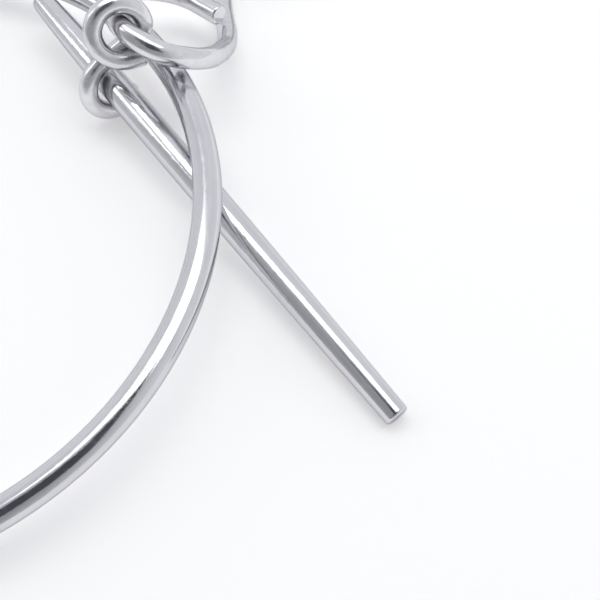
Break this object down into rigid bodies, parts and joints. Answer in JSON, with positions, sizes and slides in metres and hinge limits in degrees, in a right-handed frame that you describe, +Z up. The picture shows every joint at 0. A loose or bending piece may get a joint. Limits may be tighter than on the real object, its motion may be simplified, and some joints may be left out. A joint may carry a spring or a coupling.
{
  "type": "metal ring disentanglement puzzle",
  "caption": "Polished silver puzzle of a large hoop, a straight tapered rod, an S-shaped coupling link and an eyed wire link that lies over the hoop's rim.",
  "frame": {"origin": "middle of the underside of the bounding box, on the table the pieces lie on", "axes": "+Z up; +X to the right and +Y away, so the rod points to the lower right and the eye link to the upper right"},
  "size_m": [0.0862, 0.0848, 0.0142],
  "materials": {
    "polished_silver": "mirror polish with fine handling scratches"
  },
  "bodies": {
    "hoop": {"large_hoop": "polished_silver"},
    "rod": {"straight_rod": "polished_silver"},
    "coupling": {"coupling_link": "polished_silver"},
    "eyed_wire": {"eye_link": "polished_silver"}
  },
  "joints": [
    {"name": "hoop_over_rod", "type": "hinge", "parent": "rod", "child": "hoop", "pos_m": [-0.00853, -0.00783, 0.00376], "axis": [-0.071, 0, 0.9975], "continuous": true},
    {"name": "coupling_on_rod", "type": "hinge", "parent": "rod", "child": "coupling", "pos_m": [0.01388, 0.0087, 0.00399], "axis": [0.6241, -0.779, -0.061], "range_deg": [0, 60]},
    {"name": "eyed_wire_in_coupling", "type": "hinge", "parent": "coupling", "child": "eyed_wire", "pos_m": [0.01565, 0.00961, 0.01085], "axis": [0.372, -0.8423, 0.3902], "range_deg": [0, 90]}
  ]
}
